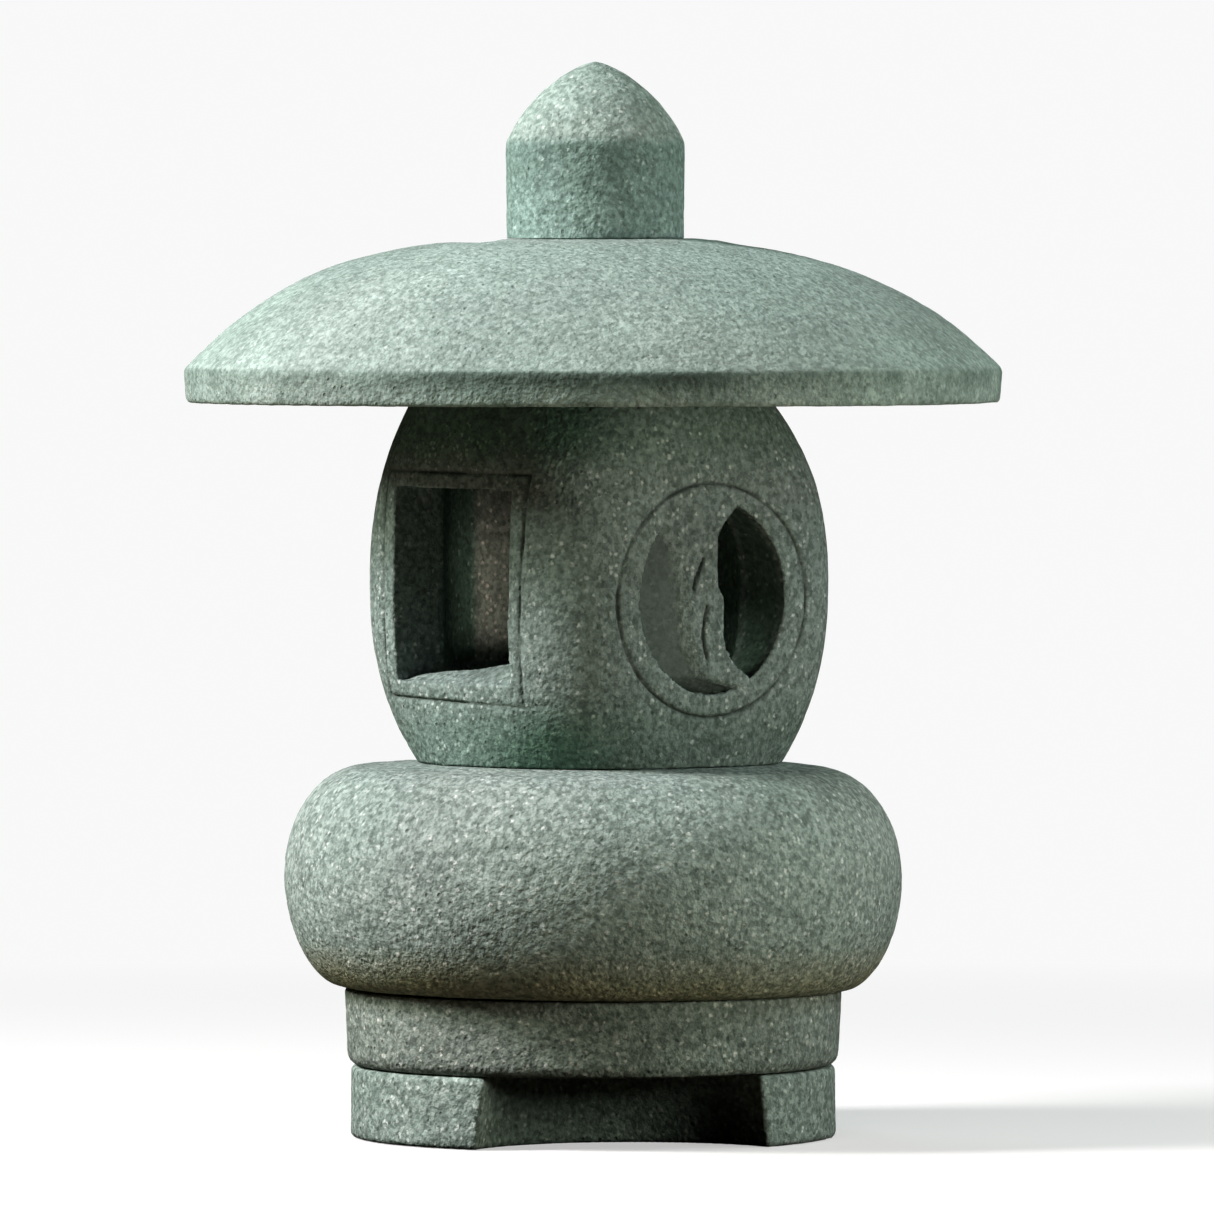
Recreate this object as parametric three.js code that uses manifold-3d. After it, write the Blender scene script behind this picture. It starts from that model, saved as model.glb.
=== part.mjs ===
// A small garden lantern of stacked stones: foot, plinth, platform, light chamber, roof and finial,
// with a tea light on the chamber's floor.
// Millimetres, +Z up. The origin is on the lantern's axis, on the ground.
// The chamber's square window faces -Y and its moon window faces +X. Its other two sides are closed.
import * as THREE from 'three';
import { mergeVertices } from 'three/addons/utils/BufferGeometryUtils.js';
import Module from 'manifold-3d';

const wasm = await Module();
wasm.setup();

// Heights of the joints between the stones
const FOOT_TOP = 30;
const PLINTH_TOP = 62;
const PLATFORM_TOP = 156.5;
const CHAMBER_TOP = 306.8;
const ROOF_TOP = 375.8;
const FINIAL_TOP = 450;

// Gaps
const SEAT_GAP = 0.3; // between stones that rest on each other
const SPIGOT_PLAY = 1; // around a spigot in its socket
const SOCKET_SPARE = 2; // under a spigot in its socket

// Foot
const FOOT_R = 101;
const FOOT_EDGE = 4;
const FOOT_TURN = 60; // degrees from -Y towards +X that the open front faces
const SCOOP_TOP_R = 63; // the scoops between the feet widen towards the ground
const SCOOP_LOW_R = 67;
const SCOOP_CENTRE = 110;

// Plinth
const PLINTH_R = 103.5;
const PLINTH_EDGE = 6;
const PLINTH_SPIGOT_R = 28;
const PLINTH_SPIGOT_H = 12;

// Platform
const PLATFORM_R = 129;
const PLATFORM_BELLY = 109; // height of the widest place
const PLATFORM_FOOT_R = 104;
const PLATFORM_SHOULDER_R = 95;
const PLATFORM_SHOULDER_DROP = 2;
const PLATFORM_SPIGOT_R = 35;
const PLATFORM_SPIGOT_H = 14;

// Light chamber
const CHAMBER_FACE = 77; // axis to the middle of a face, at mid-height
const CHAMBER_CORNER = 95.7; // axis to a corner, at mid-height
const FACE_BULGE = 5.5;
const CORNER_BULGE = 18.6;
const BULGE_POWER = 2.4;
const CHAMBER_BORE_R = 62;
const CHAMBER_FLOOR = 194; // height of the floor that the tea light stands on
const CHAMBER_SPIGOT_R = 40;
const CHAMBER_SPIGOT_H = 12;
const WINDOW_SIZE = 80;
const WINDOW_Z = 231;
const OUTLINE_SIZE = 97;
const MOON_R = 40.3;
const MOON_Z = 226;
const RING_R = 49.7;
const CLOUD_R = 29; // the flush, round middle of the cloud that covers the moon
const CLOUD_Y = 8;
const CLOUD_Z = MOON_Z + 9;
const CLOUD_SLOPE = 0.38; // how fast the cloud falls away from its middle
const CLOUD_DEEPEST = 14;
const GROOVE_W = 1.8;
const GROOVE_D = 1.2;

// Roof
const ROOF_R = 171;
const ROOF_UNDER_R = 168.5;
const RIM_H = 14.5;
const RIM_EDGE = 2.5;
const DOME_POWER = 3.15;
const DOME_FLAT_R = 38;
const BOSS_R = CHAMBER_BORE_R - SPIGOT_PLAY; // the disc under the roof that fits the chamber's bore
const BOSS_H = 8;

// Finial
const FINIAL_R = 37;
const FINIAL_SHOULDER_Z = 413;
const CONE_POWERS = [1.35, 0.65];
const FINIAL_TENON_R = 14;
const FINIAL_TENON_H = 25;

// Tea light
const CUP_R = 19;
const CUP_H = 15;
const CUP_WALL = 0.6;
const WAX_TOP = 12.5;
const WICK_R = 0.8;
const WICK_TOP = 20;
const CLIP_R = 8;
const CLIP_T = 0.6;
const COLLAR_R = 2;
const COLLAR_H = 5;
const CANDLE_GAP = 0.3;

const ROUND_STEPS = 48;
const SMALL_STEPS = 24;

const stone = (color) => new THREE.MeshStandardMaterial({ color, roughness: 0.9, metalness: 0 });
const MATERIALS = {
  finial: stone(0x8b9a8e),
  roof: stone(0x859487),
  chamber: stone(0x7c8b7d),
  platform: stone(0x829184),
  plinth: stone(0x768577),
  foot: stone(0x717f71),
  aluminium: new THREE.MeshStandardMaterial({ color: 0xc9cbcc, roughness: 0.35, metalness: 1 }),
  wax: new THREE.MeshStandardMaterial({ color: 0xf1ead9, roughness: 0.5, metalness: 0 }),
  wick: new THREE.MeshStandardMaterial({ color: 0xe6dfcc, roughness: 0.95, metalness: 0 }),
  clip: new THREE.MeshStandardMaterial({ color: 0xa9abab, roughness: 0.4, metalness: 1 }),
};

// Solids

function solidOf(geometry) {
  const bare = geometry.clone();
  bare.deleteAttribute('normal');
  bare.deleteAttribute('uv');
  const merged = mergeVertices(bare, 1e-4);
  return new wasm.Manifold(new wasm.Mesh({
    numProp: 3,
    vertProperties: new Float32Array(merged.attributes.position.array),
    triVerts: new Uint32Array(merged.index.array),
  }));
}

function geometryOf(solid) {
  const mesh = solid.getMesh();
  const geometry = new THREE.BufferGeometry();
  geometry.setAttribute('position', new THREE.BufferAttribute(mesh.vertProperties, 3));
  geometry.setIndex(new THREE.BufferAttribute(mesh.triVerts, 1));
  geometry.computeVertexNormals();
  return geometry;
}

function named(name, solid, material) {
  const mesh = new THREE.Mesh(geometryOf(solid), material);
  mesh.name = name;
  return mesh;
}

// A turned solid about Z from [radius, height] points that start and end on the axis, lowest first
function turned(profile, steps = ROUND_STEPS) {
  const points = profile.map(([radius, height]) => new THREE.Vector2(radius, height));
  return solidOf(new THREE.LatheGeometry(points, steps).rotateX(Math.PI / 2));
}

function disc(radius, low, high, steps = ROUND_STEPS) {
  return turned([[0, low], [radius, low], [radius, high], [0, high]], steps);
}

// Points on a quarter or part of an ellipse, from one angle to another in degrees
function arc(centreR, centreZ, radiusR, radiusZ, from, to, steps) {
  const points = [];
  for (let i = 0; i <= steps; i += 1) {
    const angle = THREE.MathUtils.degToRad(from + ((to - from) * i) / steps);
    points.push([centreR + radiusR * Math.cos(angle), centreZ + radiusZ * Math.sin(angle)]);
  }
  return points;
}

// An outline of [across, height] points about the axis, pushed out along +X from one distance to another
function pushedAlongX(outline, from, to) {
  const shape = new THREE.Shape(outline.map(([across, height]) => new THREE.Vector2(across, height)));
  const geometry = new THREE.ExtrudeGeometry(shape, { depth: to - from, bevelEnabled: false });
  geometry.translate(0, 0, from);
  const turn = new THREE.Matrix4().makeBasis(
    new THREE.Vector3(0, 1, 0),
    new THREE.Vector3(0, 0, 1),
    new THREE.Vector3(1, 0, 0),
  );
  return solidOf(geometry.applyMatrix4(turn));
}

function circle(radius, centreZ, steps = ROUND_STEPS) {
  return arc(0, centreZ, radius, radius, 0, 360, steps).slice(0, -1);
}

function square(size, centreZ) {
  const half = size / 2;
  return [
    [-half, centreZ - half],
    [half, centreZ - half],
    [half, centreZ + half],
    [-half, centreZ + half],
  ];
}

// Foot

function footStone() {
  const profile = [
    [0, 0],
    ...arc(FOOT_R - FOOT_EDGE, FOOT_EDGE, FOOT_EDGE, FOOT_EDGE, -90, 0, 3),
    ...arc(FOOT_R - FOOT_EDGE, FOOT_TOP - FOOT_EDGE, FOOT_EDGE, FOOT_EDGE, 0, 90, 3),
    [0, FOOT_TOP],
  ];
  let foot = turned(profile);
  const scoop = turned([[0, -1], [SCOOP_LOW_R, -1], [SCOOP_TOP_R, FOOT_TOP + 1], [0, FOOT_TOP + 1]]);
  for (const turn of [FOOT_TURN, FOOT_TURN + 180]) {
    const angle = THREE.MathUtils.degToRad(turn);
    foot = foot.subtract(scoop.translate([
      SCOOP_CENTRE * Math.sin(angle),
      -SCOOP_CENTRE * Math.cos(angle),
      0,
    ]));
  }
  const socketLow = FOOT_TOP - PLINTH_SPIGOT_H - SOCKET_SPARE;
  return foot.subtract(disc(PLINTH_SPIGOT_R + SPIGOT_PLAY, socketLow, FOOT_TOP + 1));
}

// Plinth

function plinthRing() {
  const low = FOOT_TOP + SEAT_GAP;
  const groove = [
    [PLINTH_SPIGOT_R, low - PLINTH_SPIGOT_H],
    [PLINTH_SPIGOT_R, low],
    ...arc(PLINTH_R - PLINTH_EDGE, low + PLINTH_EDGE, PLINTH_EDGE - 0.8, PLINTH_EDGE, -90, 0, 4),
  ];
  const ring = turned([
    [0, low - PLINTH_SPIGOT_H],
    ...groove,
    [PLINTH_R, PLINTH_TOP - 3],
    [PLINTH_R - 1, PLINTH_TOP],
    [0, PLINTH_TOP],
  ]);
  const socketLow = PLINTH_TOP - PLATFORM_SPIGOT_H - SOCKET_SPARE;
  return ring.subtract(disc(PLATFORM_SPIGOT_R + SPIGOT_PLAY, socketLow, PLINTH_TOP + 1));
}

// Platform

function platform() {
  const low = PLINTH_TOP + SEAT_GAP;
  const shoulder = PLATFORM_TOP - PLATFORM_SHOULDER_DROP;
  const belowBelly = arc(
    PLATFORM_FOOT_R,
    PLATFORM_BELLY,
    PLATFORM_R - PLATFORM_FOOT_R,
    PLATFORM_BELLY - low,
    -90,
    0,
    7,
  );
  const aboveBelly = arc(
    PLATFORM_SHOULDER_R,
    PLATFORM_BELLY,
    PLATFORM_R - PLATFORM_SHOULDER_R,
    shoulder - PLATFORM_BELLY,
    0,
    88,
    7,
  );
  const cushion = turned([
    [0, low - PLATFORM_SPIGOT_H],
    [PLATFORM_SPIGOT_R, low - PLATFORM_SPIGOT_H],
    [PLATFORM_SPIGOT_R, low],
    ...belowBelly,
    ...aboveBelly.slice(1),
    [CHAMBER_FACE, PLATFORM_TOP],
    [0, PLATFORM_TOP],
  ]);
  const socketLow = PLATFORM_TOP - CHAMBER_SPIGOT_H - SOCKET_SPARE;
  return cushion.subtract(disc(CHAMBER_SPIGOT_R + SPIGOT_PLAY, socketLow, PLATFORM_TOP + 1));
}

// Light chamber

const chamberLow = PLATFORM_TOP + SEAT_GAP;
const chamberMiddle = (chamberLow + CHAMBER_TOP) / 2;
const chamberHalf = (CHAMBER_TOP - chamberLow) / 2;

// One point of the barrel's rounded-square section, a superellipse that gets rounder towards both ends
function barrelPoint(angle, z, inset) {
  const bulge = (Math.abs(z - chamberMiddle) / chamberHalf) ** BULGE_POWER;
  const face = CHAMBER_FACE - FACE_BULGE * bulge - inset;
  const corner = CHAMBER_CORNER - CORNER_BULGE * bulge - inset;
  const power = 1 / (0.5 - Math.log2(corner / face));
  const across = Math.abs(Math.cos(angle)) ** power + Math.abs(Math.sin(angle)) ** power;
  const radius = face * across ** (-1 / power);
  return [radius * Math.cos(angle), radius * Math.sin(angle), z];
}

function barrel(inset, levels) {
  const around = ROUND_STEPS + 16;
  const positions = [];
  for (const z of levels) {
    for (let i = 0; i < around; i += 1) {
      positions.push(...barrelPoint((2 * Math.PI * i) / around, z, inset));
    }
  }
  const bottom = positions.length / 3;
  positions.push(0, 0, levels[0]);
  positions.push(0, 0, levels[levels.length - 1]);
  const faces = [];
  for (let i = 0; i < around; i += 1) {
    const next = (i + 1) % around;
    faces.push(bottom, next, i);
    const last = (levels.length - 1) * around;
    faces.push(bottom + 1, last + i, last + next);
    for (let row = 0; row < last; row += around) {
      faces.push(row + i, row + next, row + around + next);
      faces.push(row + i, row + around + next, row + around + i);
    }
  }
  return new wasm.Manifold(new wasm.Mesh({
    numProp: 3,
    vertProperties: new Float32Array(positions),
    triVerts: new Uint32Array(faces),
  }));
}

function smooth(points) {
  const through = points.map(([across, height]) => new THREE.Vector3(across, height, 0));
  const curve = new THREE.CatmullRomCurve3(through);
  return curve.getPoints(2 * points.length).map((point) => [point.x, point.y]);
}

// The part of the moon window that is open, seen from outside with +Y to the right: the round hole's
// right side, cut off by the two-lobed edge of the cloud
function moonOpening() {
  const upperLobe = smooth([
    [19, MOON_Z + 42],
    [9, MOON_Z + 33],
    [5.5, MOON_Z + 22],
    [4.8, MOON_Z + 6],
  ]);
  const lowerLobe = smooth([
    [4.8, MOON_Z + 6],
    [8.2, MOON_Z],
    [8.2, MOON_Z - 18],
    [13, MOON_Z - 30.5],
    [25, MOON_Z - 35],
  ]);
  const right = MOON_R + 10;
  const outline = [...upperLobe, ...lowerLobe.slice(1), [right, MOON_Z - 35], [right, MOON_Z + 42]];
  const side = pushedAlongX(outline, 0, 2 * CHAMBER_CORNER);
  const hole = pushedAlongX(circle(MOON_R, MOON_Z), 0, 2 * CHAMBER_CORNER);
  return side.intersect(hole);
}

// What is carved off the cloud: it is flush around its middle and falls away towards the moon's rim
function cloudRecess() {
  const lowest = CHAMBER_FACE - CLOUD_DEEPEST;
  const cloud = turned([
    [0, lowest],
    [CLOUD_R + CLOUD_DEEPEST / CLOUD_SLOPE, lowest],
    [CLOUD_R, CHAMBER_FACE],
    [CLOUD_R, 2 * CHAMBER_CORNER],
    [0, 2 * CHAMBER_CORNER],
  ]).rotate([0, 90, 0]).translate([0, CLOUD_Y, CLOUD_Z]);
  return pushedAlongX(circle(MOON_R, MOON_Z), lowest, 1.9 * CHAMBER_CORNER).subtract(cloud);
}

// The square window's cut, facing -Y: its sill falls from the floor towards the outside
function squareWindow() {
  const low = WINDOW_Z - WINDOW_SIZE / 2;
  const high = WINDOW_Z + WINDOW_SIZE / 2;
  const jambEnd = Math.sqrt(CHAMBER_BORE_R ** 2 - (WINDOW_SIZE / 2) ** 2);
  const shape = new THREE.Shape([
    new THREE.Vector2(0, CHAMBER_FLOOR),
    new THREE.Vector2(jambEnd, CHAMBER_FLOOR),
    new THREE.Vector2(CHAMBER_FACE, low),
    new THREE.Vector2(2 * CHAMBER_CORNER, low),
    new THREE.Vector2(2 * CHAMBER_CORNER, high),
    new THREE.Vector2(0, high),
  ]);
  const geometry = new THREE.ExtrudeGeometry(shape, { depth: WINDOW_SIZE, bevelEnabled: false });
  geometry.translate(0, 0, -WINDOW_SIZE / 2);
  const turn = new THREE.Matrix4().makeBasis(
    new THREE.Vector3(0, -1, 0),
    new THREE.Vector3(0, 0, 1),
    new THREE.Vector3(-1, 0, 0),
  );
  return solidOf(geometry.applyMatrix4(turn));
}

// A groove that follows the barrel's surface, between two outlines that are pushed out along +X
function incised(outerOutline, innerOutline, core) {
  const far = 2 * CHAMBER_CORNER;
  const band = pushedAlongX(outerOutline, 1, far).subtract(pushedAlongX(innerOutline, 0, far + 1));
  return band.subtract(core);
}

function lightChamber() {
  const levels = [];
  const rows = 12;
  for (let i = 0; i <= rows; i += 1) {
    levels.push(chamberLow + ((CHAMBER_TOP - chamberLow) * i) / rows);
  }
  const core = barrel(GROOVE_D, levels);
  const outline = incised(
    square(OUTLINE_SIZE + GROOVE_W, WINDOW_Z), square(OUTLINE_SIZE - GROOVE_W, WINDOW_Z), core,
  );
  const ring = incised(
    circle(RING_R + GROOVE_W / 2, MOON_Z), circle(RING_R - GROOVE_W / 2, MOON_Z), core,
  );
  const cuts = [
    disc(CHAMBER_BORE_R, CHAMBER_FLOOR, CHAMBER_TOP + 1),
    squareWindow(),
    outline.rotate([0, 0, -90]),
    ring,
    cloudRecess(),
    moonOpening(),
  ];
  const shell = cuts.reduce((solid, cut) => solid.subtract(cut), barrel(0, levels));
  return shell.add(disc(CHAMBER_SPIGOT_R, chamberLow - CHAMBER_SPIGOT_H, chamberLow + 1));
}

// Roof

function domeHeight(radius) {
  const rise = ROOF_TOP - (CHAMBER_TOP + SEAT_GAP) - RIM_H;
  return ROOF_TOP - rise * (radius / ROOF_R) ** DOME_POWER;
}

function roof() {
  const low = CHAMBER_TOP + SEAT_GAP;
  const dome = [];
  const rows = 11;
  for (let i = 0; i < rows; i += 1) {
    const radius = ROOF_R - ((ROOF_R - DOME_FLAT_R) * i) / rows;
    dome.push([radius, domeHeight(radius)]);
  }
  const body = turned([
    [0, low - BOSS_H],
    [BOSS_R, low - BOSS_H],
    [BOSS_R, low],
    ...arc(ROOF_UNDER_R, low + RIM_EDGE, ROOF_R - ROOF_UNDER_R, RIM_EDGE, -90, 0, 2),
    ...dome,
    [DOME_FLAT_R, ROOF_TOP],
    [0, ROOF_TOP],
  ]);
  const socketLow = ROOF_TOP - FINIAL_TENON_H - SOCKET_SPARE;
  return body.subtract(disc(FINIAL_TENON_R + SPIGOT_PLAY, socketLow, ROOF_TOP + 1));
}

// Finial

function finial() {
  const low = ROOF_TOP + SEAT_GAP;
  const coneRise = FINIAL_TOP - FINIAL_SHOULDER_Z;
  const cone = [];
  const rows = 10;
  for (let i = 0; i <= rows; i += 1) {
    const share = Math.sin((i / rows) * (Math.PI / 2));
    const radius = FINIAL_R * (1 - share ** CONE_POWERS[0]) ** CONE_POWERS[1];
    cone.push([radius, FINIAL_SHOULDER_Z + coneRise * share]);
  }
  return turned([
    [0, low - FINIAL_TENON_H],
    [FINIAL_TENON_R, low - FINIAL_TENON_H],
    [FINIAL_TENON_R, low],
    [FINIAL_R - 1, low],
    [FINIAL_R, low + 2],
    ...cone,
  ]);
}

// Tea light, standing on the chamber's floor

const candleLow = CHAMBER_FLOOR + SEAT_GAP;

function cup() {
  return turned([
    [0, candleLow],
    [CUP_R - 1, candleLow],
    [CUP_R, candleLow + 1],
    [CUP_R, candleLow + CUP_H],
    [CUP_R - CUP_WALL, candleLow + CUP_H],
    [CUP_R - CUP_WALL, candleLow + 1 + CUP_WALL],
    [CUP_R - 1 - CUP_WALL, candleLow + CUP_WALL],
    [0, candleLow + CUP_WALL],
  ], SMALL_STEPS);
}

function clip() {
  const low = candleLow + CUP_WALL + CANDLE_GAP;
  const bore = WICK_R + CANDLE_GAP;
  return turned([
    [0, low],
    [CLIP_R, low],
    [CLIP_R, low + CLIP_T],
    [COLLAR_R, low + CLIP_T],
    [COLLAR_R, low + COLLAR_H],
    [bore, low + COLLAR_H],
    [bore, low + CLIP_T],
    [0, low + CLIP_T],
  ], SMALL_STEPS);
}

function wick() {
  return disc(WICK_R, candleLow + CUP_WALL + CLIP_T + 2 * CANDLE_GAP, candleLow + WICK_TOP, 12);
}

function wax() {
  const low = candleLow + CUP_WALL + CANDLE_GAP;
  const outer = CUP_R - CUP_WALL - CANDLE_GAP;
  const body = turned([
    [0, low],
    [outer - 1.5, low],
    [outer, low + 1.5],
    [outer, candleLow + WAX_TOP],
    [0, candleLow + WAX_TOP - 0.8],
  ], SMALL_STEPS);
  return body
    .subtract(disc(CLIP_R + CANDLE_GAP, low - 1, low + CLIP_T + CANDLE_GAP, SMALL_STEPS))
    .subtract(disc(COLLAR_R + CANDLE_GAP, low - 1, low + COLLAR_H + CANDLE_GAP, SMALL_STEPS))
    .subtract(disc(WICK_R + CANDLE_GAP, low - 1, candleLow + CUP_H, 12));
}

const lantern = new THREE.Group();
lantern.name = 'stone_lantern';
lantern.add(named('foot_stone', footStone(), MATERIALS.foot));
lantern.add(named('plinth_ring', plinthRing(), MATERIALS.plinth));
lantern.add(named('platform', platform(), MATERIALS.platform));
lantern.add(named('light_chamber', lightChamber(), MATERIALS.chamber));
lantern.add(named('roof', roof(), MATERIALS.roof));
lantern.add(named('finial', finial(), MATERIALS.finial));

const teaLight = new THREE.Group();
teaLight.name = 'tea_light';
teaLight.add(named('tea_light_cup', cup(), MATERIALS.aluminium));
teaLight.add(named('tea_light_clip', clip(), MATERIALS.clip));
teaLight.add(named('tea_light_wick', wick(), MATERIALS.wick));
teaLight.add(named('tea_light_wax', wax(), MATERIALS.wax));
lantern.add(teaLight);

export default lantern;
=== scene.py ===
# Looks of the stone garden lantern: carved stones, the tea light, and the studio around them.
import math
from itertools import product

import bpy
import numpy as np
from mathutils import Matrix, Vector


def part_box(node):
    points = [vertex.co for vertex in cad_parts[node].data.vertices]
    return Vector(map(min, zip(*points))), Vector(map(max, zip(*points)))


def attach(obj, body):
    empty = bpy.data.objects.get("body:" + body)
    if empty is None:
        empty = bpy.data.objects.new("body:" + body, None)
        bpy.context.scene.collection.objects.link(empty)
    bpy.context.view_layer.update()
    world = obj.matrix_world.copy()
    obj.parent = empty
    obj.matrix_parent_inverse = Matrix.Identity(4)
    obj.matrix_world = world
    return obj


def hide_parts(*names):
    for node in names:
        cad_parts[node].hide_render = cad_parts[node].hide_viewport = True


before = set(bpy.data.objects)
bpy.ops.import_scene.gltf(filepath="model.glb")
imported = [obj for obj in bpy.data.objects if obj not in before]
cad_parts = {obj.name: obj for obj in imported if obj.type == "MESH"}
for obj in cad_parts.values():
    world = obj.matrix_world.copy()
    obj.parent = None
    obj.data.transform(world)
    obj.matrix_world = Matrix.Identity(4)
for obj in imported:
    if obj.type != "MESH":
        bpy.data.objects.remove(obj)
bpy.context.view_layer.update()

MM = 0.001


# Sizes in millimetres, taken from the frame

def low_z(node):
    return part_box(node)[0].z / MM


def high_z(node):
    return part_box(node)[1].z / MM


def radius_of(node):
    low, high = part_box(node)
    return (high.x - low.x) / 2 / MM


SEAT_GAP = 0.3
CONTACT_GAP = 0.04
FOOT_TOP = high_z("foot_stone")
PLINTH_TOP = high_z("plinth_ring")
PLATFORM_TOP = high_z("platform")
CHAMBER_TOP = high_z("light_chamber")
ROOF_TOP = high_z("roof")
FINIAL_TOP = high_z("finial")
CANDLE_LOW = low_z("tea_light_cup")
SPIGOT_PLAY = 1.0
SOCKET_SPARE = 2.0


def reach_of(points):
    """Distance of points from the axis."""
    return np.hypot(points[:, 0], points[:, 1])


def between(values, low, high):
    """0 below low, 1 above high, and smooth in between. It falls instead where low is above high."""
    share = np.clip((values - low) / (high - low), 0, 1)
    return share * share * (3 - 2 * share)


# Noise

def lattice(x, y, z, seed):
    """A fixed random number from 0 to 1 for each whole-numbered place."""
    mixed = (x * 73856093) ^ (y * 19349663) ^ (z * 83492791) ^ (seed * 6971)
    mixed = ((mixed ^ (mixed >> 13)) * 1274126177) & 0xFFFFFFFF
    return ((mixed ^ (mixed >> 16)) & 0xFFFF) / 65535.0


def noise(points, size, seed):
    """Smooth noise from 0 to 1 with features of about size, at an array of points."""
    cell = points / size
    base = np.floor(cell).astype(np.int64)
    share = cell - base
    share = share * share * (3 - 2 * share)
    total = np.zeros(len(points))
    for corner in product((0, 1), repeat=3):
        weight = np.prod(np.where(corner, share, 1 - share), axis=1)
        total += weight * lattice(*(base + corner).T, seed)
    return total


PAST_EVERY_STONE = 999


class Carving:
    """How a stone's surface is worked: the heights of its seats, which stay nearly flat, how much its
    waves take off, how far its free sides are swollen first so that they keep their mean size, the
    radius beyond which its top is free too, and how strong its grains and pits are."""

    def __init__(self, seed, seats, loss=1.0, swell=0.6, free_beyond=PAST_EVERY_STONE, grain=1.0):
        self.seed = seed
        self.seats = seats
        self.loss = loss
        self.swell = swell
        self.free_beyond = free_beyond
        self.grain = grain

    def applied(self, points, normals):
        """The points moved along their normals to the worked surface."""
        waves = 0.5 * noise(points, 38, self.seed) + 0.24 * noise(points, 13, self.seed + 1)
        grains = 0.16 * noise(points, 5.2, self.seed + 2) + 0.24 * noise(points, 2.9, self.seed + 3)
        pits = np.clip(noise(points, 3.6, self.seed + 4) - 0.74, 0, 1) * 2.0
        reach = reach_of(points)
        outward = (points[:, :2] * normals[:, :2]).sum(1) / np.maximum(reach, 1)
        side = between(outward, 0.1, 0.6) * between(reach, 65, 70)
        top = between(reach, self.free_beyond, self.free_beyond + 6) * between(normals[:, 2], -0.5, 0)
        depth = self.loss * waves + self.grain * (grains + pits) - self.swell * np.maximum(side, top)
        from_seat = np.min([np.abs(points[:, 2] - z) for z in self.seats], axis=0)
        level = between(np.abs(normals[:, 2]), 0.8, 0.95) * (1 - between(from_seat, 0.5, 1.5))
        level = level * (1 - between(reach, self.free_beyond, self.free_beyond + 6))
        return points - normals * (depth * (1 - 0.85 * level))[:, None]


# Meshes

def mesh_object(name, points, faces):
    """A smooth-shaded mesh object from points in millimetres."""
    mesh = bpy.data.meshes.new(name)
    mesh.from_pydata((np.asarray(points) * MM).tolist(), [], faces)
    mesh.validate()
    mesh.update()
    mesh.polygons.foreach_set("use_smooth", [True] * len(mesh.polygons))
    thing = bpy.data.objects.new(name, mesh)
    bpy.context.scene.collection.objects.link(thing)
    return thing


def points_of(thing):
    """A mesh object's points in millimetres."""
    points = np.empty(len(thing.data.vertices) * 3)
    thing.data.vertices.foreach_get("co", points)
    return points.reshape(-1, 3) / MM


def store(thing, attribute, values):
    """Keeps one number per point, which the material reads by name."""
    layer = thing.data.attributes.new(attribute, "FLOAT", "POINT")
    layer.data.foreach_set("value", values.astype(np.float32))


def filleted(corners, steps=5):
    """An outline whose corners, given as (radius, height, fillet), are rounded by their fillets."""
    points = []
    for i, (r, z, fillet) in enumerate(corners):
        here = np.array([r, z], float)
        if not fillet or i in (0, len(corners) - 1):
            points.append(here)
            continue
        before = np.array(corners[i - 1][:2], float) - here
        after = np.array(corners[i + 1][:2], float) - here
        start = here + before / np.linalg.norm(before) * min(fillet, np.linalg.norm(before) / 2)
        end = here + after / np.linalg.norm(after) * min(fillet, np.linalg.norm(after) / 2)
        for k in range(steps + 1):
            t = k / steps
            points.append((1 - t) ** 2 * start + 2 * t * (1 - t) * here + t * t * end)
    return np.array(points)


def resampled(outline, spacing):
    """The outline cut into steps of at most the spacing, keeping its own points."""
    points = [outline[0]]
    for a, b in zip(outline[:-1], outline[1:]):
        pieces = max(1, int(np.ceil(np.linalg.norm(b - a) / spacing)))
        points.extend(a + (b - a) * k / pieces for k in range(1, pieces + 1))
    return np.array(points)


def turned(outline, around):
    """Points, normals and faces of an outline, lowest point first, turned about Z."""
    inner = outline[1:-1]
    angles = np.arange(around) * 2 * math.pi / around
    cos, sin = np.cos(angles), np.sin(angles)
    points = np.stack([
        inner[:, :1] * cos, inner[:, :1] * sin, np.repeat(inner[:, 1:], around, axis=1),
    ], axis=-1).reshape(-1, 3)
    tangent = outline[2:] - outline[:-2]
    out = np.stack([tangent[:, 1], -tangent[:, 0]], axis=1)
    out /= np.maximum(np.linalg.norm(out, axis=1, keepdims=True), 1e-9)
    normals = np.stack([
        out[:, :1] * cos, out[:, :1] * sin, np.repeat(out[:, 1:], around, axis=1),
    ], axis=-1).reshape(-1, 3)
    rows = len(inner)
    ring = np.arange(around)
    following = (ring + 1) % around
    faces = []
    for row in range(rows - 1):
        a = row * around
        b = a + around
        faces.extend(np.stack([a + ring, a + following, b + following, b + ring], axis=1).tolist())
    bottom, top = len(points), len(points) + 1
    points = np.vstack([points, [0, 0, outline[0][1]], [0, 0, outline[-1][1]]])
    normals = np.vstack([normals, [0, 0, -1], [0, 0, 1]])
    last = (rows - 1) * around
    faces.extend([bottom, j, i] for i, j in zip(ring.tolist(), following.tolist()))
    faces.extend([top, last + i, last + j] for i, j in zip(ring.tolist(), following.tolist()))
    return points, normals, faces


def turned_stone(name, corners, carving, spacing, skew=None):
    """A turned, carved stone from (radius, height, fillet) corners, lowest first. The skew, a
    function that moves points, gives it the crookedness of a hand-carved stone."""
    grid = spacing * 1
    outline = resampled(filleted(corners), grid)
    around = int(2 * math.pi * outline[:, 0].max() / grid / 8) * 8
    points, normals, faces = turned(outline, around)
    points = carving.applied(points, normals)
    if skew:
        points = points + skew(points)
    return mesh_object(name, points, faces)


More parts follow.
